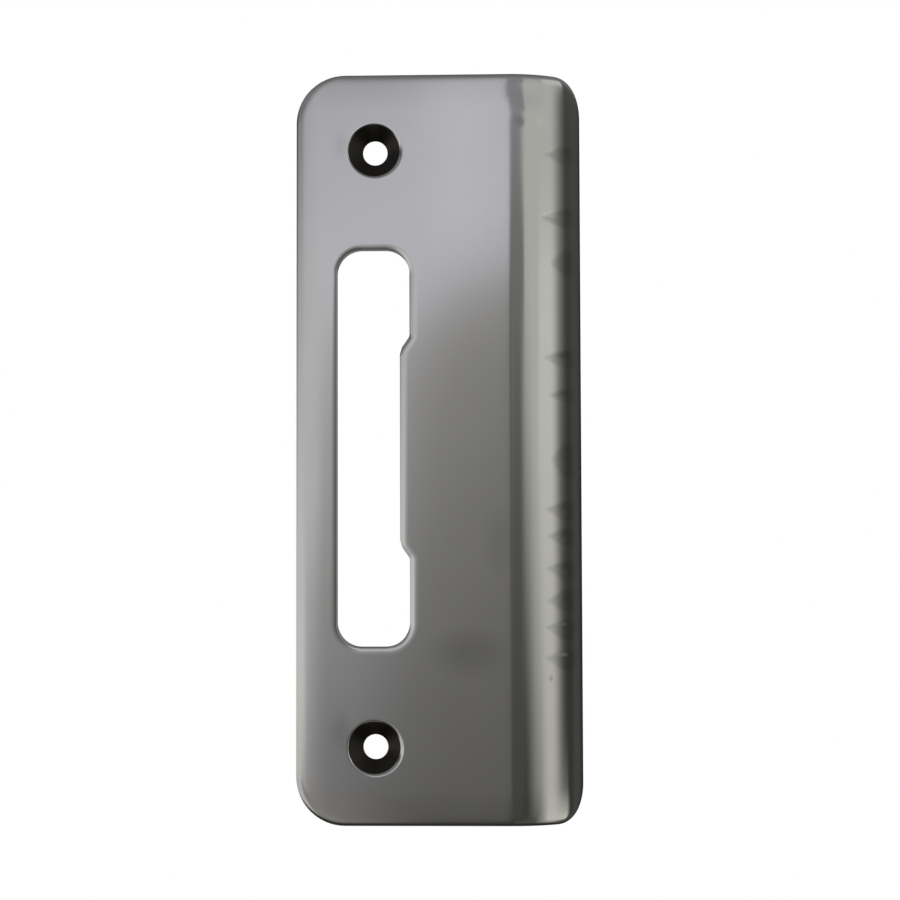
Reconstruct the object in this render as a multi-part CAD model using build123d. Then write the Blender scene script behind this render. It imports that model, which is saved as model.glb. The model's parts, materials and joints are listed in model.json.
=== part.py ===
from build123d import *
import math
import os

# Door strike plate, pressed from one piece of stainless sheet.
# X runs across the plate towards the curled lip, Z runs up, and the front face looks towards -Y.
# The origin lies on the back face, midway between the two screw holes.

# Sheet
thickness = 3.0
plate_height = 139.6
left_margin = 14.6  # from the screw line to the straight left edge
flat_reach = 24.9  # from the screw line to the start of the lip

# Curled lip along the right side
lip_front_radius = 16.0
lip_angle = 60.0  # degrees that the sheet turns back towards the frame

# Outline corners
corner_radius = 9.1
lip_corner_radius = 7.2

# Countersunk screw holes
screw_spacing = 111.0
screw_hole_diameter = 4.6
countersink_diameter = 10.0
countersink_angle = 90.0

# Bolt slot, with a raised tongue along its right side
slot_left = 7.1  # from the screw line to the slot's left side
slot_width = 13.6
slot_height = 74.0
slot_corner_radius = 4.6
tongue_step = 1.8  # how far the tongue narrows the slot
tongue_height = 36.0  # straight part of the tongue
tongue_slope_height = 2.6  # each sloping end of the tongue
tongue_tip_radius = 2.0
tongue_root_radius = 1.5

# Softened edges
front_roll = 0.5  # pressed and buffed roll round the outside of the front face
slot_roll = 0.3  # smaller roll round the slot
screw_rim_roll = 0.35  # rim of each countersink
back_break = 0.25  # deburred outside edge of the back face
roll_share = 0.6  # largest part of the sheet's thickness that a roll takes up
same_length = 0.001  # lengths closer than this count as equal


def bent_sheet():
    """Flat sheet with its right side curled back, as one constant-thickness section run upwards."""
    lip_centre_y = lip_front_radius - thickness
    front_arc = CenterArc((flat_reach, lip_centre_y), lip_front_radius, -90, lip_angle)
    back_arc = CenterArc((flat_reach, lip_centre_y), lip_front_radius - thickness, -90, lip_angle)
    front_edge = Line((-left_margin, -thickness), front_arc @ 0)
    back_edge = Line(back_arc @ 0, (-left_margin, 0))
    left_wall = Line((-left_margin, 0), (-left_margin, -thickness))
    lip_end = Line(front_arc @ 1, back_arc @ 1)
    section = make_face([left_wall, front_edge, front_arc, lip_end, back_arc, back_edge])
    return Pos(0, 0, -plate_height / 2) * extrude(section, plate_height, dir=(0, 0, 1))


def roll_radius(wanted):
    """Radius of an edge roll, limited by the sheet's thickness."""
    return min(wanted, roll_share * thickness)


def corner_edges(sheet, side):
    """The two edges that cross the sheet's thickness at the top and bottom of one side."""
    crossing = sheet.edges().filter_by(lambda edge: abs(edge.length - thickness) < same_length)
    ordered = crossing.sort_by(Axis.X)
    return ordered[:2] if side == "left" else ordered[-2:]


def skin_outline(sheet, lip_radius, flat_y):
    """Outside edges of one skin of the sheet, over its flat and its curl, without the bend line between."""
    curl = sheet.faces().filter_by(GeomType.CYLINDER).filter_by(
        lambda face: abs(face.radius - lip_radius) < same_length and face.area > plate_height
    )[0]
    flat = sheet.faces().filter_by(Plane.XZ).filter_by(lambda face: abs(face.center().Y - flat_y) < same_length)[0]
    shared = [edge for edge in flat.edges() if any(edge.is_same(other) for other in curl.edges())]
    around = list(flat.edges()) + list(curl.edges())
    return [edge for edge in around if not any(edge.is_same(bend_line) for bend_line in shared)]


def slot_outline():
    """Slot seen from the front: a rectangle whose right side steps in over the tongue."""
    left = -slot_left
    right = slot_width - slot_left
    tip = right - tongue_step
    top = slot_height / 2
    flat = tongue_height / 2
    shoulder = flat + tongue_slope_height
    corners = [
        (left, -top),
        (right, -top),
        (right, -shoulder),
        (tip, -flat),
        (tip, flat),
        (right, shoulder),
        (right, top),
        (left, top),
    ]
    radii = [
        slot_corner_radius,
        slot_corner_radius,
        tongue_root_radius,
        tongue_tip_radius,
        tongue_tip_radius,
        tongue_root_radius,
        slot_corner_radius,
        slot_corner_radius,
    ]
    return FilletPolyline(*corners, radius=radii, close=True)


def slot_cutter():
    """Slot outline carried right through the sheet."""
    face = Plane.XZ * make_face(slot_outline())
    return extrude(face, 2 * thickness, both=True)


def screw_cutter(height):
    """Countersink cone and through hole, turned about the screw's own axis."""
    hole_radius = screw_hole_diameter / 2
    rim_radius = countersink_diameter / 2
    cone_depth = (rim_radius - hole_radius) / math.tan(math.radians(countersink_angle / 2))
    profile = make_face(
        Polyline(
            (0, -2 * thickness),
            (rim_radius, -2 * thickness),
            (rim_radius, -thickness),
            (hole_radius, cone_depth - thickness),
            (hole_radius, thickness),
            (0, thickness),
            close=True,
        )
    )
    return Pos(0, 0, height) * revolve(profile, Axis.Y)


def front_face(plate):
    """Flat front of the plate."""
    flats = plate.faces().filter_by(Plane.XZ)
    return flats.filter_by(lambda face: abs(face.center().Y + thickness) < same_length).sort_by(SortBy.AREA)[-1]


def build_plate():
    """Bend the sheet, round its outline, then pierce the slot and the screw holes."""
    plate = bent_sheet()
    plate = fillet(corner_edges(plate, "left"), corner_radius)
    plate = fillet(corner_edges(plate, "right"), lip_corner_radius)
    front_outline = skin_outline(plate, lip_front_radius, -thickness)
    plate = fillet(front_outline, roll_radius(front_roll))
    back_outline = skin_outline(plate, lip_front_radius - thickness, 0)
    plate = chamfer(back_outline, back_break)

    plate -= slot_cutter()
    slot_rim = front_face(plate).inner_wires()[0].edges()
    plate = fillet(slot_rim, roll_radius(slot_roll))

    for side in (-1, 1):
        plate -= screw_cutter(side * screw_spacing / 2)
    screw_rims = [wire.edge() for wire in front_face(plate).inner_wires() if len(wire.edges()) == 1]
    return fillet(screw_rims, screw_rim_roll)


if __name__ == "__main__":
    os.makedirs("parts", exist_ok=True)
    strike_plate = build_plate()
    strike_plate.label = "strike_plate"
    export_step(strike_plate, "parts/strike_plate.step")
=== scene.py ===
"""Door strike plate of polished stainless sheet, hung in a plain white studio.

The plate is worked out on its flat pattern, which is the sheet as it was before its lip was curled. A point
of the pattern is (s, z, w): s runs across the plate from the screw line towards the lip, z runs up, and w is
the depth below the polished skin. Every surface is a grid of such points, and one fold carries them all to
their places in space. Lengths are in metres, and directions in the studio are in degrees.
"""

import json
import logging
import math
from collections.abc import Mapping, Sequence
from dataclasses import dataclass
from enum import Enum, IntEnum
from typing import ClassVar

import bmesh
import bpy
import numpy as np
from mathutils import Matrix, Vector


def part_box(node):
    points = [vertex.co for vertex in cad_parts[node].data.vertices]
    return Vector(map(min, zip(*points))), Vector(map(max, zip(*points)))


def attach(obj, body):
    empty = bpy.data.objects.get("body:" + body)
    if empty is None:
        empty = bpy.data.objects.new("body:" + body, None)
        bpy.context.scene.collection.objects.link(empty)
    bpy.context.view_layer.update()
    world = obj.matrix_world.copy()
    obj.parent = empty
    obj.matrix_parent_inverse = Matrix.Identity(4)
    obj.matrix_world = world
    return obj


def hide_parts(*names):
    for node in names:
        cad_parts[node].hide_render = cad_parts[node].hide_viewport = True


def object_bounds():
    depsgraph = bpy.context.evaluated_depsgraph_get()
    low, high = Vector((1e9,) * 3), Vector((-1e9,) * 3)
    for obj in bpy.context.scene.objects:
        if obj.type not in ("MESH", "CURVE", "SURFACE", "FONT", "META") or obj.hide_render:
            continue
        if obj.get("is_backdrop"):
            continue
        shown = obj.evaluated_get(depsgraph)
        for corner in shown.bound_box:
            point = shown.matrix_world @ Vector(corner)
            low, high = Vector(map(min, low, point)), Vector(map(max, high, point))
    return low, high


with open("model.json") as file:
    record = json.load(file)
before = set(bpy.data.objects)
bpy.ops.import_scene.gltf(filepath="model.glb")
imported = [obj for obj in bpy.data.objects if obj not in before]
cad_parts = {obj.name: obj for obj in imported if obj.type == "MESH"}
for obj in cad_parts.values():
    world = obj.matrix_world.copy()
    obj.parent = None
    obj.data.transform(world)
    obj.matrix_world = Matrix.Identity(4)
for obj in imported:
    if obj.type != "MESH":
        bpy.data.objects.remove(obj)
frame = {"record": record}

CAD_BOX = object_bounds()
MM = 0.001
PLATE_NODE = "strike_plate"
# Mesh attribute with the share of painted shade on the ground marks.
GROUND_MARK_SHADE_SHARE = "ground_mark_shade_share"

log = logging.getLogger("strike_plate")

Colour = tuple[float, float, float]
Inputs = Mapping[str | int, object]
BLACK = (0.0, 0.0, 0.0, 1.0)


class Finish(IntEnum):
    """Finishes of the sheet, in the order of the plate's material slots."""

    POLISHED = 0
    CUT_WALL = 1
    COUNTERSINK = 2
    MILL_BACK = 3


class Metal(Enum):
    """Side of an outline on which the metal lies, as the sign of the outward normal that points into it."""

    INSIDE = -1
    OUTSIDE = 1


@dataclass(frozen=True)
class BentSheet:
    """Sheet with its right side curled back, and the way its flat pattern folds."""

    left: float
    half_height: float
    thickness: float
    flat_reach: float = 24.9 * MM
    lip_radius: float = 16.0 * MM
    lip_angle: float = math.radians(60.0)

    @classmethod
    def from_frame(cls) -> "BentSheet":
        """Takes the sheet's left side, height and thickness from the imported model."""
        low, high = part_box(PLATE_NODE)
        return cls(left=low.x, half_height=high.z, thickness=-low.y)

    @property
    def lip_end(self) -> float:
        """Right end of the flat pattern."""
        return self.flat_reach + self.lip_radius * self.lip_angle

    def fold(self, flat: np.ndarray) -> np.ndarray:
        """Carries points of the flat pattern to their places in space.

        Up to the bend line, x is s and y is w less the thickness. Past it a point turns about the curl's
        centre line by (s - bend line) / lip radius, at a distance of lip radius - w from it.

        Args:
            flat: Points (s, z, w), one to a row.

        Returns:
            Points (x, y, z), one to a row.
        """
        across, height, depth = flat.T
        turned = np.clip(across - self.flat_reach, 0.0, None) / self.lip_radius
        arm = self.lip_radius - depth
        x = np.minimum(across, self.flat_reach) + arm * np.sin(turned)
        y = self.lip_radius - self.thickness - arm * np.cos(turned)
        return np.column_stack([x, y, height])


@dataclass(frozen=True)
class Loop:
    """Closed run of stations on an outline, with the direction into the metal at each."""

    points: np.ndarray
    into_metal: np.ndarray

    def inset(self, distance: float) -> np.ndarray:
        """Stations moved into the metal by a distance."""
        return self.points + distance * self.into_metal

    def softened(self, firm_share: float, soft_side: tuple[float, float]) -> np.ndarray:
        """Share of an edge's softening at each station.

        It is whole where the metal lies on the soft side, and falls evenly to the firm share on the far side.
        """
        towards = np.clip(0.5 + 0.5 * self.into_metal @ np.array(soft_side), 0.0, 1.0)
        return firm_share + (1.0 - firm_share) * towards


@dataclass(frozen=True)
class Window:
    """Rectangle of the skin's grid that faces an outline, with the grid lines that cross it."""

    across: np.ndarray
    upwards: np.ndarray

    @property
    def sides(self) -> tuple[np.ndarray, ...]:
        """Grid lines met along the bottom, right, top and left side, going anticlockwise."""
        return self.across, self.upwards, self.across[::-1], self.upwards[::-1]

    def rim(self) -> np.ndarray:
        """Lists where the grid lines meet the rectangle's rim.

        Returns:
            Points (s, z), anticlockwise from the lower left corner, with the first one repeated at the end.
        """
        left, right = self.across[[0, -1]]
        low, high = self.upwards[[0, -1]]
        fixed = (low, right, high, left)
        runs = [
            np.column_stack([lines, np.full_like(lines, level)][:: 1 if side % 2 == 0 else -1])[:-1]
            for side, (lines, level) in enumerate(zip(self.sides, fixed))
        ]
        return np.vstack([*runs, runs[0][:1]])

    def holds(self, points: np.ndarray) -> np.ndarray:
        """Tells which points (s, z) lie inside the rectangle."""
        inside_s = (points[..., 0] > self.across[0]) & (points[..., 0] < self.across[-1])
        inside_z = (points[..., 1] > self.upwards[0]) & (points[..., 1] < self.upwards[-1])
        return inside_s & inside_z


@dataclass(frozen=True)
class RoundedOutline:
    """Closed outline of straight sides joined by arcs, anticlockwise on the flat pattern.

    The main corners are the four whose arcs end the bottom, right, top and left sides, in that order.
    """

    corners: tuple[tuple[float, float], ...]
    radii: tuple[float, ...]
    main_corners: tuple[int, int, int, int]
    metal: Metal
    arc_steps: int = 49

    def trace(self) -> tuple[np.ndarray, np.ndarray]:
        """Draws the arc at every corner.

        An arc starts where it touches the side that arrives, at radius * tan(turn / 2) before the corner, and
        its outward normal turns evenly from one side's normal to the next one's.

        Returns:
            Points and outward normals, arc after arc.
        """
        corners = np.array(self.corners)
        leaving = np.roll(corners, -1, axis=0) - corners
        leaving /= np.linalg.norm(leaving, axis=1, keepdims=True)
        arriving = np.roll(leaving, 1, axis=0)
        cross = arriving[:, 0] * leaving[:, 1] - arriving[:, 1] * leaving[:, 0]
        turn = np.arctan2(cross, np.sum(arriving * leaving, axis=1))
        bend = (np.sign(turn) * np.array(self.radii))[:, None]
        start = corners - arriving * np.abs(bend) * np.tan(np.abs(turn) / 2)[:, None]
        centre = start - bend * np.column_stack([arriving[:, 1], -arriving[:, 0]])
        heading = np.arctan2(arriving[:, 1], arriving[:, 0])[:, None] + turn[:, None] * np.linspace(
            0.0, 1.0, self.arc_steps
        )
        outward = np.stack([np.sin(heading), -np.cos(heading)], axis=-1)
        points = centre[:, None] + bend[:, None] * outward
        return points.reshape(-1, 2), outward.reshape(-1, 2)

    def meet(self, window: Window, reach: float) -> Loop:
        """Places stations that pair off with the grid lines round a window.

        Each side of the outline runs from the middle of one main corner's arc to the middle of the next
        one's. It is read at the places of the window's lines, stretched evenly to end on the arcs' middles.

        Args:
            window: Rectangle whose grid lines are met.
            reach: Distance into the metal at which the places are compared.

        Returns:
            The stations, closed.
        """
        points, outward = self.trace()
        table = np.hstack([points, self.metal.value * outward])
        compared = table[:, :2] + reach * table[:, 2:]
        ends = [corner * self.arc_steps + self.arc_steps // 2 for corner in self.main_corners]
        runs = []
        for side, lines in enumerate(window.sides):
            sign = 1 if side < 2 else -1
            count = (ends[(side + 1) % 4] - ends[side]) % len(points) + 1
            index = (ends[side] + np.arange(count)) % len(points)
            place = sign * compared[index, side % 2]
            wanted = np.interp(sign * lines, sign * lines[[0, -1]], place[[0, -1]])
            step = np.interp(wanted, place, np.arange(count))
            runs.append(np.column_stack([np.interp(step, np.arange(count), c) for c in table[index].T])[:-1])
        closed = np.vstack([*runs, runs[0][:1]])
        into_metal = closed[:, 2:] / np.linalg.norm(closed[:, 2:], axis=1, keepdims=True)
        return Loop(closed[:, :2], into_metal)


@dataclass(frozen=True)
class SectionRun:
    """Run of an edge's section with one finish.

    Its rows hold (d, w), either once for the whole outline or once for each station: d is the distance into
    the metal from the outline, and w is the depth.
    """

    finish: Finish
    rows: np.ndarray

    def sweep(self, loop: Loop) -> np.ndarray:
        """Carries the run along an outline, so that point = station + d * into the metal, at depth w.

        Args:
            loop: Stations of the outline.

        Returns:
            Grid of points (s, z, w), one row to each row of the section.
        """
        flat = loop.points + self.rows[..., :1] * loop.into_metal
        depth = np.broadcast_to(self.rows[..., 1:], (*flat.shape[:2], 1))
        return np.concatenate([flat, depth], axis=-1)


@dataclass(frozen=True)
class RolledEdge:
    """Edge whose front droops gently and then turns over tightly, above a sheared wall.

    The roll is deepest where the metal lies on the soft side, and shrinks to its firm share on the far side.
    """

    roll_width: float
    roll_depth: float
    back_break: float
    firm_share: float = 1.0
    soft_side: tuple[float, float] = (0.0, 0.0)
    roll_steps: int = 20
    wall_steps: int = 3

    @property
    def reach(self) -> float:
        """Distance into the metal at which the roll meets the flat skin."""
        return self.roll_width

    @property
    def back_reach(self) -> float:
        """Distance into the metal at which the edge meets the back."""
        return self.back_break

    def section(self, thickness: float, loop: Loop) -> list[SectionRun]:
        """Works out the section.

        Over the roll, d = width * (1 - sqrt(sin t)) and w = depth * (1 - cos t) for t from 0 to a quarter
        turn, so it stays nearly flat at first and bends most at its end. The steps in t grow with the square
        of their number, which spaces d evenly at first. The wall drops straight from there to the break,
        which slants to the back.

        Args:
            thickness: Thickness of the sheet.
            loop: Stations of the outline.

        Returns:
            The runs of the section, from the front to the back.
        """
        depth = self.roll_depth * loop.softened(self.firm_share, self.soft_side)
        turn = math.pi / 2 * np.square(np.linspace(0.0, 1.0, self.roll_steps + 1))[:, None]
        drop = depth * (1 - np.cos(turn))
        inwards = self.roll_width * (1 - np.sqrt(np.sin(turn)))
        roll = np.stack([np.broadcast_to(inwards, drop.shape), drop], axis=-1)
        share = np.linspace(0.0, 1.0, self.wall_steps + 1)[:, None]
        fall = depth + share * (thickness - self.back_break - depth)
        wall = np.stack([np.zeros_like(fall), fall], axis=-1)
        back = np.broadcast_to([self.back_break, thickness], (1, len(depth), 2))
        return [SectionRun(Finish.POLISHED, roll), SectionRun(Finish.CUT_WALL, np.vstack([wall, back]))]


@dataclass(frozen=True)
class CountersunkHole:
    """Round hole with a flat-sided cone at its front and a short straight land at its back."""

    height: float
    hole_radius: float
    rim_radius: float = 5.0 * MM
    half_angle: float = math.radians(45.0)
    rim_softness: float = 0.4 * MM
    firm_share: float = 0.25
    soft_side: tuple[float, float] = (0.85, -0.5)
    rim_lead: float = 0.1 * MM
    rim_steps: int = 6
    cone_steps: int = 6

    @property
    def reach(self) -> float:
        """Distance outside the rim at which the section meets the flat skin."""
        return self.rim_softness + self.rim_lead

    @property
    def back_reach(self) -> float:
        """Distance from the rim to the hole's own wall, which is outside the metal at the front."""
        return self.hole_radius - self.rim_radius

    def outline(self) -> RoundedOutline:
        """Draws the rim as four quarter arcs.

        Returns:
            The rim.
        """
        r = self.rim_radius
        corners = tuple((s * r, self.height + z * r) for s, z in ((-1, -1), (1, -1), (1, 1), (-1, 1)))
        return RoundedOutline(corners, (r,) * 4, (0, 1, 2, 3), Metal.OUTSIDE)

    def section(self, thickness: float, loop: Loop) -> list[SectionRun]:
        """Works out the section.

        The rim is an arc that touches the skin and the cone, so its radius is softness / tan(slope / 2). The
        cone then falls by the distance it closes in, over tan(half angle), and the land is straight.

        Args:
            thickness: Thickness of the sheet.
            loop: Stations of the rim.

        Returns:
            The runs of the section, from the front to the back.
        """
        slope = math.pi / 2 - self.half_angle
        softness = self.rim_softness * loop.softened(self.firm_share, self.soft_side)
        radius = softness / math.tan(slope / 2)
        turn = np.linspace(0.0, slope, self.rim_steps + 1)[:, None]
        arc = np.stack([softness - radius * np.sin(turn), radius * (1 - np.cos(turn))], axis=-1)
        rim = np.concatenate([np.broadcast_to([self.reach, 0.0], arc[:1].shape), arc])
        floor = -self.back_reach / math.tan(self.half_angle)
        share = np.linspace(0.0, 1.0, self.cone_steps + 1)[:, None, None]
        cone = arc[-1] + share * (np.array([self.back_reach, floor]) - arc[-1])
        land = np.array([[[self.back_reach, floor]], [[self.back_reach, thickness]]])
        runs = ((Finish.POLISHED, rim), (Finish.COUNTERSINK, cone), (Finish.CUT_WALL, land))
        return [SectionRun(finish, rows) for finish, rows in runs]


@dataclass(frozen=True)
class BoltSlot:
    """Slot for the bolt, with a tongue that narrows its middle from the right."""

    left: float = -7.1 * MM
    width: float = 13.6 * MM
    half_height: float = 37.0 * MM
    corner_radius: float = 4.6 * MM
    tongue_step: float = 1.8 * MM
    tongue_half_height: float = 18.0 * MM
    tongue_slope_height: float = 2.6 * MM
    tongue_tip_radius: float = 2.0 * MM
    tongue_root_radius: float = 1.5 * MM
    edge: RolledEdge = RolledEdge(
        roll_width=1.9 * MM,
        roll_depth=0.28 * MM,
        back_break=0.12 * MM,
        firm_share=0.25,
        soft_side=(1.0, -0.4),
    )

    @property
    def right(self) -> float:
        """Right side of the slot, above and below the tongue."""
        return self.left + self.width

    @property
    def shoulder(self) -> float:
        """Height at which the tongue starts to step in."""
        return self.tongue_half_height + self.tongue_slope_height

    def outline(self) -> RoundedOutline:
        """Draws the slot: a rectangle whose right side steps in over the tongue.

        Returns:
            The outline.
        """
        tip = self.right - self.tongue_step
        corners = (
            (self.left, -self.half_height),
            (self.right, -self.half_height),
            (self.right, -self.shoulder),
            (tip, -self.tongue_half_height),
            (tip, self.tongue_half_height),
            (self.right, self.shoulder),
            (self.right, self.half_height),
            (self.left, self.half_height),
        )
        end, root, nose = self.corner_radius, self.tongue_root_radius, self.tongue_tip_radius
        radii = (end, end, root, nose, nose, root, end, end)
        return RoundedOutline(corners, radii, (0, 1, 6, 7), Metal.OUTSIDE)


@dataclass(frozen=True)
class GroundMark:
    """Facet left by the grinding belt where it crossed the curl."""

    height: float
    reach: float
    rise_above: float
    rise_below: float


@dataclass(frozen=True)
class Swelling:
    """Gentle rise of the skin, a bell in both directions, or a hollow where its rise is below nothing."""

    across: float
    height: float
    rise: float
    half_width: float
    half_rise: float


@dataclass(frozen=True)
class Droop:
    """Gentle fall of the skin towards a side of the plate, which steepens evenly past its start."""

    start: float
    bend: float

    def depth(self, outward: np.ndarray) -> np.ndarray:
        """Gives the depth, which is bend / 2 times the square of the distance past the start."""
        return self.bend / 2 * np.square(np.clip(outward - self.start, 0.0, None))


@dataclass(frozen=True)
class SkinRelief:
    """Small departures of the polished skin from its true form, as a depth below it."""

    root: float
    radius: float
    marks: tuple[GroundMark, ...]
    swellings: tuple[Swelling, ...]
    left_droop: Droop
    end_droop: Droop
    flattening: float = 0.07
    flank: float = 1.25
    rim_width: float = 1.4 * MM
    fade_width: float = 4.2 * MM

    def depth(self, across: np.ndarray, height: np.ndarray) -> np.ndarray:
        """Adds up the droops, the ground marks and the swellings.

        A swelling rises by rise * (1 - r^2)^2, where r is the distance from its middle as a share of its half
        sizes.

        Args:
            across: Places s on the flat pattern.
            height: Heights z.

        Returns:
            Depths w.
        """
        depth = self.left_droop.depth(-across) + self.end_droop.depth(np.abs(height))
        depth = depth + self.ground_depth(across, height)
        for swelling in self.swellings:
            sideways = np.square((across - swelling.across) / swelling.half_width)
            upright = np.square((height - swelling.height) / swelling.half_rise)
            depth = depth - swelling.rise * np.square(np.clip(1.0 - sideways - upright, 0.0, None))
        return depth

    def tooth_reach(self, height: np.ndarray) -> np.ndarray:
        """Gives how far the ground marks reach from their root at each height.

        A mark's reach falls to nothing above and below its middle, as 1 - q^flank of the share q of the way.

        Args:
            height: Heights z.

        Returns:
            Reaches.
        """
        reach = np.zeros_like(height)
        for mark in self.marks:
            rise = np.where(height > mark.height, mark.rise_above, mark.rise_below)
            share = 1.0 - np.clip(np.abs(height - mark.height) / rise, 0.0, 1.0) ** self.flank
            reach = np.maximum(reach, mark.reach * share)
        return reach

    def root_fade(self, across: np.ndarray) -> np.ndarray:
        """Gives the share of a mark that is left past the root: 1 - 3 q^2 + 2 q^3, a share q of the way."""
        past = np.clip((across - self.root) / self.fade_width, 0.0, 1.0)
        return 1.0 - past * past * (3.0 - 2.0 * past)

    def ground_depth(self, across: np.ndarray, height: np.ndarray) -> np.ndarray:
        """Works out the depth of the ground marks.

        A mark takes away a share of the curl's curvature from the marks' common root out to its own reach, so
        its depth is flattening * (reach^2 - distance from the root^2) / (2 * radius), and fades out past the
        root.

        Args:
            across: Places s on the flat pattern.
            height: Heights z.

        Returns:
            Depths w.
        """
        away = np.clip(self.root - across, 0.0, None)
        chord = np.clip(np.square(self.tooth_reach(height)) - np.square(away), 0.0, None)
        return self.flattening * chord * self.root_fade(across) / (2 * self.radius)

    def ground_mark_shade_share(self, flat: np.ndarray) -> np.ndarray:
        """Tells how much points belong to a ground mark, from 0 at its rim to 1 well inside it, which is how
        much of its painted shade they take.

        Args:
            flat: Points (s, z, w), one to a row.

        Returns:
            Shares.
        """
        across, height, _ = flat.T
        inside = self.tooth_reach(height) - np.clip(self.root - across, 0.0, None)
        return np.clip(inside / self.rim_width, 0.0, 1.0) * self.root_fade(across)

    def press(self, flat: np.ndarray, thickness: float) -> np.ndarray:
        """Lowers points by the relief, in full at the skin and less and less towards the back.

        Args:
            flat: Points (s, z, w), one to a row.
            thickness: Thickness of the sheet.

        Returns:
            The lowered points.
        """
        across, height, depth = flat.T
        share = 1.0 - depth / thickness
        return np.column_stack([across, height, depth + share * self.depth(across, height)])


def spaced(stops: Sequence[float], steps: Sequence[float]) -> np.ndarray:
    """Places grid lines through all stops, with each gap between two stops divided evenly.

    Args:
        stops: Rising places that must have a line.
        steps: Largest step in each gap.

    Returns:
        The grid lines.
    """
    leeway = 1e-9
    runs = [
        np.linspace(low, high, math.ceil((high - low) / step - leeway), endpoint=False)
        for low, high, step in zip(stops, stops[1:], steps)
    ]
    return np.append(np.concatenate(runs), stops[-1])


def between(lines: np.ndarray, low: float, high: float) -> np.ndarray:
    """Picks the grid lines from one stop to another, both included."""
    slack = 0.01 * MM
    return lines[(lines > low - slack) & (lines < high + slack)]


class PatchMesh:
    """Collects grids of flat-pattern points and welds them into one closed, folded mesh."""

    def __init__(self, sheet: BentSheet, relief: SkinRelief) -> None:
        """Starts empty, for one sheet and its relief."""
        self.sheet = sheet
        self.relief = relief
        self.points: list[np.ndarray] = []
        self.quads: list[np.ndarray] = []
        self.finishes: list[np.ndarray] = []
        self.count = 0

    def add(self, grid: np.ndarray, finish: Finish, keep: np.ndarray | None = None) -> None:
        """Adds one grid.

        Args:
            grid: Points (s, z, w), as rows and columns.
            finish: Finish of all its cells.
            keep: Cells that are kept, or None for all.
        """
        rows, columns = grid.shape[:2]
        index = self.count + np.arange(rows * columns).reshape(rows, columns)
        cells = np.stack([index[:-1, :-1], index[:-1, 1:], index[1:, 1:], index[1:, :-1]], axis=-1)
        chosen = cells.reshape(-1, 4) if keep is None else cells[keep]
        self.points.append(grid.reshape(-1, 3))
        self.quads.append(chosen)
        self.finishes.append(np.full(len(chosen), int(finish), np.int32))
        self.count += rows * columns

    def build(self, name: str, crease: float) -> bpy.types.Object:
        """Welds the grids where they meet, folds them and makes the object.

        Args:
            name: Name of the piece.
            crease: Angle past which an edge stays sharp.

        Returns:
            The piece, linked to the scene.
        """
        weld = 1e-4 * MM
        points = np.vstack(self.points)
        quads = np.vstack(self.quads)
        used, quads = np.unique(quads, return_inverse=True)
        keys = np.round(points[used] / weld).astype(np.int64)
        _, first, same = np.unique(keys, axis=0, return_index=True, return_inverse=True)
        quads = same.reshape(-1)[quads.reshape(-1, 4)]
        flat = points[used][first]
        places = self.sheet.fold(self.relief.press(flat, self.sheet.thickness))
        mesh = bpy.data.meshes.new(name)
        mesh.from_pydata(places.tolist(), [], quads.tolist())
        mesh.polygons.foreach_set("material_index", np.concatenate(self.finishes))
        # The ground marks' mask, which carries their painted shade into the polished material.
        ground = mesh.attributes.new(GROUND_MARK_SHADE_SHARE, "FLOAT", "POINT")
        ground.data.foreach_set("value", self.relief.ground_mark_shade_share(flat))
        mesh.update()
        self.turn_outwards(mesh)
        mesh.shade_smooth()
        mesh.set_sharp_from_angle(angle=crease)
        piece = bpy.data.objects.new(name, mesh)
        bpy.context.scene.collection.objects.link(piece)
        return piece

    @staticmethod
    def turn_outwards(mesh: bpy.types.Mesh) -> None:
        """Points every face outwards, and stops if the mesh isn't closed."""
        shape = bmesh.new()
        shape.from_mesh(mesh)
        open_edges = [edge for edge in shape.edges if not edge.is_manifold]
        if open_edges:
            place = open_edges[0].verts[0].co
            raise ValueError(f"{len(open_edges)} edges of {mesh.name} are open, such as one at {place}")
        bmesh.ops.recalc_face_normals(shape, faces=shape.faces)
        shape.to_mesh(mesh)
        shape.free()


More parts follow.
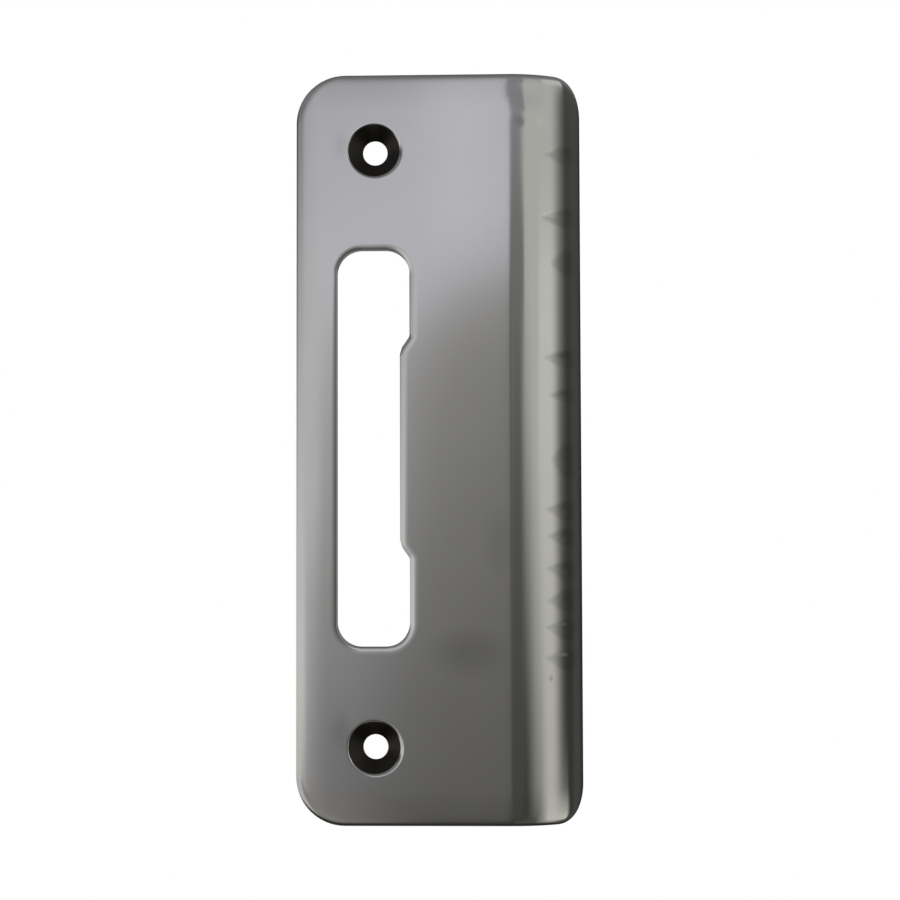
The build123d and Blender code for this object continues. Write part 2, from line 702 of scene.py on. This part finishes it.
class Wiring:
    """Shorthand for adding nodes to one tree and joining them."""

    def __init__(self, tree: bpy.types.NodeTree) -> None:
        """Works on one tree."""
        self.tree = tree

    @classmethod
    def emptied(cls, owner: bpy.types.Material | bpy.types.World) -> "Wiring":
        """Clears the tree of a material or a world and works on it."""
        owner.use_nodes = True
        owner.node_tree.nodes.clear()
        return cls(owner.node_tree)

    def node(self, kind: str, given: Inputs | None = None, **settings: object) -> bpy.types.Node:
        """Adds a node, sets its properties and feeds its inputs.

        Args:
            kind: Blender's name of the node type.
            given: Sockets to join or plain values to set, by the name or the number of the input.
            settings: Properties of the node.

        Returns:
            The node.
        """
        made = self.tree.nodes.new(kind)
        for key, value in settings.items():
            setattr(made, key, value)
        for key, value in (given or {}).items():
            if isinstance(value, bpy.types.NodeSocket):
                self.tree.links.new(value, made.inputs[key])
            else:
                made.inputs[key].default_value = value
        return made

    def math(self, operation: str, *values: object) -> bpy.types.NodeSocket:
        """Adds a Math node and gives its result."""
        return self.node("ShaderNodeMath", dict(enumerate(values)), operation=operation).outputs[0]

    def vector(self, operation: str, *values: object, result: str = "Vector") -> bpy.types.NodeSocket:
        """Adds a Vector Math node and gives one of its results."""
        return self.node("ShaderNodeVectorMath", dict(enumerate(values)), operation=operation).outputs[result]

    def ramp(self, value: object, low: object, high: object, smooth: bool = True) -> bpy.types.NodeSocket:
        """Turns a value into a share that goes from 0 at low to 1 at high.

        Args:
            value: The value.
            low: Where the share starts to rise.
            high: Where it is whole, which may be less than low.
            smooth: True for a soft start and end.

        Returns:
            The share.
        """
        given = {"Value": value, "From Min": low, "From Max": high}
        shape = "SMOOTHSTEP" if smooth else "LINEAR"
        return self.node("ShaderNodeMapRange", given, interpolation_type=shape).outputs[0]

    def blend(self, share: object, first: object, second: object) -> bpy.types.NodeSocket:
        """Mixes two colours.

        Args:
            share: Share of the second.
            first: First colour.
            second: Second colour.

        Returns:
            The mixed colour.
        """
        share_in, first_in, second_in, colour_out = 0, 6, 7, 2
        given = {share_in: share, first_in: first, second_in: second}
        return self.node("ShaderNodeMix", given, data_type="RGBA").outputs[colour_out]

    def noise(self, place: bpy.types.NodeSocket, size: float, detail: float) -> bpy.types.NodeSocket:
        """Adds a noise that swings about a half.

        Args:
            place: Coordinates it reads.
            size: Size of its features.
            detail: Octaves.

        Returns:
            The noise.
        """
        given = {"Vector": place, "Scale": 1 / size, "Detail": detail}
        return self.node("ShaderNodeTexNoise", given).outputs[0]


@dataclass(frozen=True)
class DarkPatch:
    """Darker patch on the front of the plate, which fades out over its half sizes."""

    across: float
    height: float
    half_width: float
    half_rise: float
    loss: float

    def share(self, wiring: Wiring, place: bpy.types.NodeSocket) -> bpy.types.NodeSocket:
        """Adds the share of colour that the patch takes away, its loss in the middle and nothing outside.

        Args:
            wiring: Tree to add to.
            place: Coordinates it reads.

        Returns:
            The share.
        """
        away = wiring.vector("SUBTRACT", place, (self.across, 0.0, self.height))
        scaled = wiring.vector("MULTIPLY", away, (1 / self.half_width, 0.0, 1 / self.half_rise))
        length = wiring.vector("LENGTH", scaled, result="Value")
        return wiring.math("MULTIPLY", wiring.ramp(length, 1.0, 0.0), self.loss)


@dataclass(frozen=True)
class SteelFinish:
    """Steel with a finish of its own: its tone, its roughness and a fine grain.

    It may have darker patches, and painted shade where it was ground: the marks are darkened in place of
    their facets' darker reflection.
    """

    name: str
    tone: Colour
    roughness: float
    tone_spread: float = 0.04
    roughness_spread: float = 0.03
    patch_size: float = 12.0 * MM
    patch_detail: float = 3.0
    grain_size: float = 0.5 * MM
    grain_detail: float = 2.0
    grain_depth: float = 0.0002 * MM
    dark_patches: tuple[DarkPatch, ...] = ()
    ground_mark_shade: float = 0.0

    def build(self) -> bpy.types.Material:
        """Makes the material.

        Returns:
            The material.
        """
        material = bpy.data.materials.new(self.name)
        wiring = Wiring.emptied(material)
        place = wiring.node("ShaderNodeTexCoord").outputs["Object"]
        patches = wiring.noise(place, self.patch_size, self.patch_detail)
        grain = wiring.noise(place, self.grain_size, self.grain_detail)
        light = tuple(part * (1 + self.tone_spread) for part in self.tone)
        dark = tuple(part * (1 - self.tone_spread) for part in self.tone)
        colour = wiring.blend(patches, (*dark, 1.0), (*light, 1.0))
        # Darker patches: the colour is mixed towards black in each one.
        for dark_patch in self.dark_patches:
            colour = wiring.blend(dark_patch.share(wiring, place), colour, BLACK)
        # Painted shade: the ground marks are darkened to stand in for the darker reflection of their facets.
        if self.ground_mark_shade > 0.0:
            ground = wiring.node("ShaderNodeAttribute", attribute_name=GROUND_MARK_SHADE_SHARE).outputs["Fac"]
            colour = wiring.blend(wiring.math("MULTIPLY", ground, self.ground_mark_shade), colour, BLACK)
        smoothest = self.roughness - self.roughness_spread
        roughness = wiring.math("MULTIPLY_ADD", grain, 2 * self.roughness_spread, smoothest)
        bump = wiring.node("ShaderNodeBump", {"Distance": self.grain_depth, "Height": grain})
        given = {"Metallic": 1.0, "Base Color": colour, "Roughness": roughness, "Normal": bump.outputs[0]}
        shader = wiring.node("ShaderNodeBsdfPrincipled", given)
        wiring.node("ShaderNodeOutputMaterial", {"Surface": shader.outputs[0]})
        return material


@dataclass(frozen=True)
class StrikePlate:
    """The plate: one bent sheet with rolled edges, a bolt slot, two countersunk holes and a ground curl."""

    sheet: BentSheet
    holes: tuple[CountersunkHole, ...]
    slot: BoltSlot = BoltSlot()
    corner_radius: float = 9.1 * MM
    lip_corner_radius: float = 7.2 * MM
    edge: RolledEdge = RolledEdge(roll_width=2.3 * MM, roll_depth=0.32 * MM, back_break=0.25 * MM)
    hole_window: float = 6.5 * MM
    grid_right: float = 37.0 * MM
    grid_top: float = 64.0 * MM
    flat_step: float = 0.95 * MM
    fine_step: float = 0.7 * MM
    curl_step: float = 0.3 * MM
    rise_step: float = 0.4 * MM
    tongue_rise_step: float = 0.3 * MM
    tongue_margin: float = 1.5 * MM
    rings: int = 4
    crease: float = math.radians(35.0)

    @classmethod
    def from_frame(cls) -> "StrikePlate":
        """Takes the sheet's size and the screw holes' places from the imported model.

        Returns:
            The plate.
        """
        mounts = {mount["name"]: mount for mount in frame["record"]["mounts"]}
        pattern = mounts["screw_holes"]["dims"]
        half_spacing = pattern["spacing_y_mm"] * MM / 2
        radius = pattern["hole_r_mm"] * MM
        holes = tuple(CountersunkHole(side * half_spacing, radius) for side in (-1, 1))
        return cls(BentSheet.from_frame(), holes)

    def outline(self) -> RoundedOutline:
        """Draws the outside of the flat pattern.

        Returns:
            The outline.
        """
        left, right, top = self.sheet.left, self.sheet.lip_end, self.sheet.half_height
        corners = ((left, -top), (right, -top), (right, top), (left, top))
        radii = (self.corner_radius, self.lip_corner_radius, self.lip_corner_radius, self.corner_radius)
        return RoundedOutline(corners, radii, (0, 1, 2, 3), Metal.INSIDE)

    def relief(self) -> SkinRelief:
        """Lists the ground marks on the curl, the swelling and the hollow at its upper end and the droops.

        Returns:
            The relief.
        """
        marks = tuple(
            GroundMark(height * MM, reach * MM, rise_above * MM, rise_below * MM)
            for height, reach, rise_above, rise_below in (
                (55.0, 4.5, 1.8, 2.0),
                (43.0, 5.2, 2.0, 2.0),
                (34.6, 3.2, 2.8, 2.8),
                (16.6, 4.9, 1.7, 2.0),
                (9.6, 3.9, 1.4, 1.5),
                (-2.4, 3.3, 3.6, 4.0),
                (-11.7, 4.8, 1.7, 2.2),
                (-16.7, 4.5, 1.7, 1.9),
                (-22.6, 4.7, 1.5, 2.4),
                (-28.7, 4.5, 2.4, 2.2),
                (-33.5, 5.0, 1.5, 2.7),
                (-39.2, 5.1, 1.6, 2.6),
            )
        )
        bend = self.sheet.flat_reach
        swellings = (
            Swelling(bend + 4.4 * MM, 62.2 * MM, 0.06 * MM, 4.4 * MM, 3.0 * MM),
            Swelling(bend + 4.0 * MM, 66.5 * MM, -0.05 * MM, 4.8 * MM, 2.6 * MM),
        )
        return SkinRelief(
            root=bend + 11.2 * MM,
            radius=self.sheet.lip_radius,
            marks=marks,
            swellings=swellings,
            left_droop=Droop(9.2 * MM, 0.0065 / MM),
            end_droop=Droop(63.0 * MM, 0.006 / MM),
        )

    def build(self) -> bpy.types.Object:
        """Builds the plate's mesh.

        Both skins are one rectangular grid each. Windows in it are set aside for the slot and the holes, and
        rings of points lead from a window's rim to the cut's edge, as they do from the grid's own rim to the
        outside edge. The edges are sections carried along their outlines, from the front skin to the back.

        Returns:
            The piece.
        """
        sheet, slot = self.sheet, self.slot
        grid_left = (sheet.left + self.edge.reach + slot.left - slot.edge.reach) / 2
        slot_right = slot.right + slot.edge.reach + (grid_left - sheet.left - self.edge.reach)
        slot_top = slot.half_height + slot.edge.reach + (grid_left - sheet.left - self.edge.reach)
        window = self.hole_window
        across = spaced(
            (grid_left, -window, window, slot_right, sheet.flat_reach, self.grid_right),
            (self.fine_step, self.fine_step, self.flat_step, self.flat_step, self.curl_step),
        )
        hole_low = self.holes[1].height - window
        hole_high = self.holes[1].height + window
        tongue_low = slot.tongue_half_height - self.tongue_margin
        tongue_high = slot.shoulder + self.tongue_margin
        half = (0.0, tongue_low, tongue_high, slot_top, hole_low, hole_high, self.grid_top)
        step = self.rise_step
        upper = spaced(half, (step, self.tongue_rise_step, step, step, step, step))
        upwards = np.concatenate([-upper[:0:-1], upper])

        slot_window = Window(between(across, grid_left, slot_right), between(upwards, -slot_top, slot_top))
        cuts = [(slot.outline(), slot.edge, slot_window)]
        for hole in self.holes:
            lines = between(upwards, hole.height - window, hole.height + window)
            cuts.append((hole.outline(), hole, Window(between(across, -window, window), lines)))

        mesh = PatchMesh(sheet, self.relief())
        grid = np.stack(np.meshgrid(across, upwards), axis=-1)
        middle = (grid[:-1, :-1] + grid[1:, 1:]) / 2
        keep = ~np.any([rim.holds(middle) for _, _, rim in cuts], axis=0)
        for skin in (Finish.POLISHED, Finish.MILL_BACK):
            mesh.add(self.skin(grid, skin), skin, keep)
        share = np.linspace(0.0, 1.0, self.rings + 1)[:, None, None]
        for outline, edge, rim in ((self.outline(), self.edge, Window(across, upwards)), *cuts):
            loop = outline.meet(rim, edge.reach)
            for skin, reach in ((Finish.POLISHED, edge.reach), (Finish.MILL_BACK, edge.back_reach)):
                start = loop.inset(reach)
                mesh.add(self.skin(start + share * (rim.rim() - start), skin), skin)
            for run in edge.section(sheet.thickness, loop):
                mesh.add(run.sweep(loop), run.finish)
        return mesh.build("polished_plate", self.crease)

    def skin(self, flat: np.ndarray, finish: Finish) -> np.ndarray:
        """Gives a skin's points (s, z) their depth: none at the front, the whole thickness at the back."""
        depth = np.full((*flat.shape[:2], 1), 0.0 if finish is Finish.POLISHED else self.sheet.thickness)
        return np.concatenate([flat, depth], axis=-1)

    @staticmethod
    def dark_patches() -> tuple[DarkPatch, ...]:
        """Lists the darker patches on the polished front.

        A row holds a patch's place, its half sizes and its loss.

        Returns:
            The smudges.
        """
        rows = (
            (17.6, -37.8, 9.5, 6.2, 0.2),
            (23.0, -17.5, 4.0, 9.0, 0.1),
            (-6.4, -52.5, 3.0, 5.5, 0.16),
            (-6.2, 56.5, 2.2, 4.0, 0.1),
            (32.5, -42.9, 0.6, 0.9, 0.3),
        )
        return tuple(DarkPatch(*(size * MM for size in sizes), loss) for *sizes, loss in rows)

    def dress(self, piece: bpy.types.Object) -> None:
        """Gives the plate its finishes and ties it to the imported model.

        Args:
            piece: The plate.
        """
        finishes = {
            # The polished front's ground marks get painted shade, a darkening in place of their facets'
            # darker reflection.
            Finish.POLISHED: SteelFinish(
                "polished_steel", (0.577, 0.572, 0.558), 0.09, dark_patches=self.dark_patches(), ground_mark_shade=0.21
            ),
            Finish.CUT_WALL: SteelFinish("sheared_steel", (0.4, 0.4, 0.39), 0.5),
            Finish.COUNTERSINK: SteelFinish("countersunk_steel", (0.1, 0.09, 0.077), 0.5),
            Finish.MILL_BACK: SteelFinish("mill_steel", (0.53, 0.53, 0.53), 0.48),
        }
        for finish in Finish:
            piece.data.materials.append(finishes[finish].build())
        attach(piece, "root")
        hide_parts(PLATE_NODE)


@dataclass(frozen=True)
class SoftPanel:
    """Rounded patch of light or dark in the studio, by direction in degrees.

    Azimuth is 0 straight in front of the plate and grows towards the lip's side. Elevation grows upwards. An
    even panel has no high tone.
    """

    name: str
    left: float
    right: float
    low: float
    high: float
    corner: float
    softness: float
    low_tone: Colour
    high_tone: Colour | None = None
    climb: float = 1.0

    NUMBERS: ClassVar[Sequence[str]] = ("left", "right", "low", "high", "corner", "softness", "climb")
    TONES: ClassVar[Sequence[str]] = ("low_tone", "high_tone")

    def settings(self) -> dict[str, object]:
        """Lists the panel's numbers and tones under the names of its node's sockets."""
        numbers = {name: getattr(self, name) for name in self.NUMBERS}
        tones = (self.low_tone, self.high_tone or self.low_tone)
        return numbers | {name: (*tone, 1.0) for name, tone in zip(self.TONES, tones)}


@dataclass(frozen=True)
class Studio:
    """World round the plate: soft panels painted one over the other on an even tone."""

    room_tone: Colour
    panels: tuple[SoftPanel, ...]

    @staticmethod
    def panel_group() -> bpy.types.NodeTree:
        """Makes the node group of one soft panel.

        The distance from a rounded rectangle is the length of how far the direction lies past its straight
        core, less the corner's radius. The panel's share falls from 1 to 0 across its edge, over its
        softness, and its tone goes from the low one to the high one as the share of the way up, to the power
        of its climb.

        Returns:
            The group.
        """
        tree = bpy.data.node_groups.new("soft_panel", "ShaderNodeTree")
        for kind, names in (
            ("NodeSocketColor", ("under", *SoftPanel.TONES)),
            ("NodeSocketFloat", ("azimuth", "elevation", *SoftPanel.NUMBERS)),
        ):
            for name in names:
                tree.interface.new_socket(name, in_out="INPUT", socket_type=kind)
        tree.interface.new_socket("colour", in_out="OUTPUT", socket_type="NodeSocketColor")
        wiring = Wiring(tree)
        given = wiring.node("NodeGroupInput").outputs
        corner = given["corner"]
        past = []
        for place, low, high in (("azimuth", "left", "right"), ("elevation", "low", "high")):
            before = wiring.math("SUBTRACT", given[low], given[place])
            beyond = wiring.math("SUBTRACT", given[place], given[high])
            past.append(wiring.math("ADD", wiring.math("MAXIMUM", before, beyond), corner))
        outside = [wiring.math("MAXIMUM", one, 0.0) for one in past]
        squares = [wiring.math("MULTIPLY", one, one) for one in outside]
        length = wiring.math("SQRT", wiring.math("ADD", *squares))
        inside = wiring.math("MINIMUM", wiring.math("MAXIMUM", *past), 0.0)
        distance = wiring.math("SUBTRACT", wiring.math("ADD", length, inside), corner)
        edge = wiring.math("MULTIPLY", given["softness"], 0.5)
        share = wiring.ramp(distance, edge, wiring.math("MULTIPLY", edge, -1.0))
        risen = wiring.ramp(given["elevation"], given["low"], given["high"], smooth=False)
        climbed = wiring.math("POWER", risen, given["climb"])
        tone = wiring.blend(climbed, given["low_tone"], given["high_tone"])
        wiring.node("NodeGroupOutput", {"colour": wiring.blend(share, given["under"], tone)})
        return tree

    def build(self) -> None:
        """Paints the panels into the scene's world."""
        world = bpy.data.worlds.new("studio")
        bpy.context.scene.world = world
        wiring = Wiring.emptied(world)
        direction = wiring.node("ShaderNodeTexCoord").outputs["Generated"]
        x, y, z = wiring.node("ShaderNodeSeparateXYZ", {"Vector": direction}).outputs
        to_degrees = math.degrees(1.0)
        turn = wiring.math("ARCTAN2", x, wiring.math("MULTIPLY", y, -1.0))
        azimuth = wiring.math("MULTIPLY", turn, to_degrees)
        elevation = wiring.math("MULTIPLY", wiring.math("ARCSINE", z), to_degrees)
        group = self.panel_group()
        colour: object = (*self.room_tone, 1.0)
        for panel in self.panels:
            given = {"under": colour, "azimuth": azimuth, "elevation": elevation} | panel.settings()
            colour = wiring.node("ShaderNodeGroup", given, node_tree=group, name=panel.name).outputs[0]
        background = wiring.node("ShaderNodeBackground", {"Color": colour})
        wiring.node("ShaderNodeOutputWorld", {"Surface": background.outputs[0]})


@dataclass(frozen=True)
class Backdrop:
    """Seamless pale bowl round the plate: a round floor that curves up into a wall.

    It is lit paper, which the steel doesn't reflect, so it stays plain white from every side.
    """

    floor_height: float = -0.32
    floor_radius: float = 0.9
    bend_radius: float = 0.5
    wall_height: float = 2.2
    centre_radius: float = 1.0 * MM
    segments: int = 96
    bend_steps: int = 24
    paper: Colour = (1.0, 1.0, 1.0)

    def build(self) -> bpy.types.Object:
        """Builds the bowl as a profile turned about the upright axis.

        The profile is (radius, height): out along the floor, up a quarter circle and up the wall.

        Returns:
            The bowl.
        """
        turn = np.linspace(0.0, math.pi / 2, self.bend_steps + 1)
        bend = np.column_stack(
            [
                self.floor_radius + self.bend_radius * np.sin(turn),
                self.floor_height + self.bend_radius * (1 - np.cos(turn)),
            ]
        )
        centre = np.array([[self.centre_radius, self.floor_height]])
        top = np.array([[bend[-1, 0], self.floor_height + self.wall_height]])
        profile = np.vstack([centre, bend, top])
        angle = np.arange(self.segments) * 2 * math.pi / self.segments
        x = profile[:, :1] * np.cos(angle)
        y = profile[:, :1] * np.sin(angle)
        z = np.broadcast_to(profile[:, 1:], x.shape)
        points = np.stack([x, y, z], axis=-1).reshape(-1, 3)
        index = np.arange(x.size).reshape(x.shape)
        around = np.roll(index, -1, axis=1)
        quads = np.stack([index[:-1], around[:-1], around[1:], index[1:]], axis=-1).reshape(-1, 4)
        mesh = bpy.data.meshes.new("backdrop")
        mesh.from_pydata(points.tolist(), [], [*quads[:, ::-1].tolist(), index[0].tolist()])
        mesh.shade_smooth()
        mesh.materials.append(self.material())
        bowl = bpy.data.objects.new("backdrop", mesh)
        bpy.context.scene.collection.objects.link(bowl)
        bowl.visible_glossy = False
        bowl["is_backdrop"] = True
        return bowl

    def material(self) -> bpy.types.Material:
        """Makes the paper, lit evenly from behind.

        Returns:
            The material.
        """
        material = bpy.data.materials.new("lit_paper")
        wiring = Wiring.emptied(material)
        glow = wiring.node("ShaderNodeEmission", {"Color": (*self.paper, 1.0)})
        wiring.node("ShaderNodeOutputMaterial", {"Surface": glow.outputs[0]})
        material.cycles.emission_sampling = "NONE"
        return material


@dataclass(frozen=True)
class PortraitCamera:
    """Camera a little right of the plate's middle and below it, looking slightly left and up."""

    place: tuple[float, float, float] = (26.4 * MM, -371.0 * MM, -19.0 * MM)
    turned_left: float = math.radians(1.93)
    tilted_up: float = math.radians(2.86)
    roll: float = math.radians(-0.17)
    lens_mm: float = 79.6
    sensor_mm: float = 36.0
    nearest: float = 10.0 * MM

    def build(self) -> bpy.types.Object:
        """Places the camera and makes it the scene's own.

        It is turned to the left, stood up and tilted about its X axis, and rolled about its line of sight.

        Returns:
            The camera.
        """
        lens = bpy.data.cameras.new("portrait")
        lens.lens = self.lens_mm
        lens.sensor_width = self.sensor_mm
        lens.clip_start = self.nearest
        camera = bpy.data.objects.new("portrait", lens)
        stand = Matrix.Translation(self.place)
        for angle, axis in ((self.turned_left, "Z"), (math.pi / 2 + self.tilted_up, "X"), (self.roll, "Z")):
            stand = stand @ Matrix.Rotation(angle, 4, axis)
        camera.matrix_world = stand
        bpy.context.scene.collection.objects.link(camera)
        bpy.context.scene.camera = camera
        return camera


def studio_light() -> Studio:
    """Sets out the studio's panels in the order of painting, each over the ones before it.

    A row holds a panel's name, its left, right, low and high side, its corner and its softness, its low and
    its high tone, and its climb where that isn't 1.

    Returns:
        The studio.
    """
    rows = (
        ("front_wall", -110, 110, -60, 90, 10, 40, (0.93, 0.93, 0.965), (0.5, 0.5, 0.58)),
        ("right_window", 18.2, 160, -60, 90, 5, 1.7, (0.8, 0.807, 0.752), (0.5, 0.5, 0.508)),
        ("window_glow", 40.9, 100, -60, 8.9, 6, 5.9, (0.314, 0.317, 0.273), (0.87, 0.874, 0.815), 1.6),
        ("right_wall", 73.7, 200, -120, 120, 2, 29.7, (0.164, 0.165, 0.154), (0.03, 0.03, 0.028)),
        ("wall_foot", 75, 200, -120, 3.3, 2, 34, (0.304, 0.305, 0.284), (0.03, 0.03, 0.028)),
        ("wall_glow", 96, 112, -60, 80, 2, 8, (0.08, 0.08, 0.075), (0.1, 0.101, 0.094)),
        ("rim_shade", 126, 160, -120, 120, 2, 6, (0.015, 0.015, 0.014)),
        ("side_room", 158, 240, -120, 120, 2, 12, (0.75, 0.75, 0.765)),
        ("upper_shade", -6, 31.2, -60, 1.1, 12, 22.6, (0.033, 0.033, 0.029), (0.042, 0.041, 0.036)),
        ("low_shade", -6, 42.9, -60, -6.7, 4.2, 24.2, (0.337, 0.331, 0.291), (0.057, 0.056, 0.049)),
        ("upper_wall", -60, -0.6, 5.1, 30, 6, 1.6, (0.84, 0.835, 0.91), (0.3, 0.3, 0.325)),
        ("left_window", -80, -8.8, -60, 60, 6, 1.6, (0.68, 0.67, 0.632), (0.735, 0.735, 0.8)),
        ("left_window_top", -80, -6.3, -0.5, 60, 3, 1.6, (0.735, 0.735, 0.755), (0.76, 0.76, 0.865)),
        ("left_glow", -75, -10, -6, 2, 3, 5, (0.87, 0.865, 0.84), (0.84, 0.84, 0.875)),
        ("left_foot", -17, -5, -60, -6.8, 3, 3.4, (0.34, 0.332, 0.31)),
        ("slot_shade", -6.1, -4.4, -3, 7, 1, 1.2, (0.35, 0.345, 0.335), (0.68, 0.675, 0.68)),
        ("upper_left_shade", -200, -10.5, 9.5, 120, 6, 14, (0.27, 0.27, 0.297), (0.25, 0.25, 0.275)),
        ("far_left_shade", -200, -38, 7, 120, 6, 20, (0.11, 0.11, 0.121)),
        ("bend_window", -2.6, 3, 7.9, 34, 2, 2, (0.86, 0.855, 0.925), (0.68, 0.68, 0.735)),
        ("dark_band", 2.5, 19.2, -20, 22, 1, 9.6, (0.081, 0.08, 0.07), (0.75, 0.75, 0.825), 3.5),
        ("band_bulge", 3, 21.5, 6.3, 10.2, 2, 2.5, (0.22, 0.218, 0.212), (0.26, 0.258, 0.25)),
        ("band_top", 1, 22.5, 14, 60, 2, 3, (0.34, 0.338, 0.35)),
        ("camera_side", -3.45, 3, -30, 7.9, 3.6, 2.4, (0.097, 0.095, 0.085), (0.41, 0.408, 0.395), 2.7),
        ("camera_core", 1.1, 4, -30, 8.3, 1.3, 3.9, (0.04, 0.039, 0.034), (0.135, 0.135, 0.137)),
        ("ceiling", -200, 200, 23, 120, 5, 22, (0.33, 0.33, 0.337), (0.05, 0.05, 0.05), 0.6),
        ("ground", -200, 200, -120, -26, 5, 16, (0.03, 0.029, 0.026), (0.041, 0.04, 0.035)),
        ("floor_glow", -200, 200, -120, -72, 5, 16, (0.45, 0.42, 0.37)),
        ("low_flare", 51, 87, -18, -8.6, 4, 7, (0.8, 0.803, 0.75)),
        ("high_flare", 50, 84, 16.4, 25, 3, 4, (0.76, 0.76, 0.76)),
    )
    return Studio(room_tone=(0.75, 0.75, 0.76), panels=tuple(SoftPanel(*row) for row in rows))


def main() -> None:
    """Builds the studio and the plate."""
    logging.basicConfig(level=logging.INFO, format="%(message)s")
    studio_light().build()
    log.info("studio: panels painted")
    backdrop = Backdrop().build()
    log.info("%s: %d faces", backdrop.name, len(backdrop.data.polygons))
    PortraitCamera().build()
    log.info("portrait camera placed")
    bpy.context.scene.view_settings.view_transform = "Standard"
    plate = StrikePlate.from_frame()
    piece = plate.build()
    plate.dress(piece)
    log.info("%s: %d faces", piece.name, len(piece.data.polygons))


if __name__ == "__main__":
    main()
    [[list(corner) for corner in box] for box in (CAD_BOX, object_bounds())]
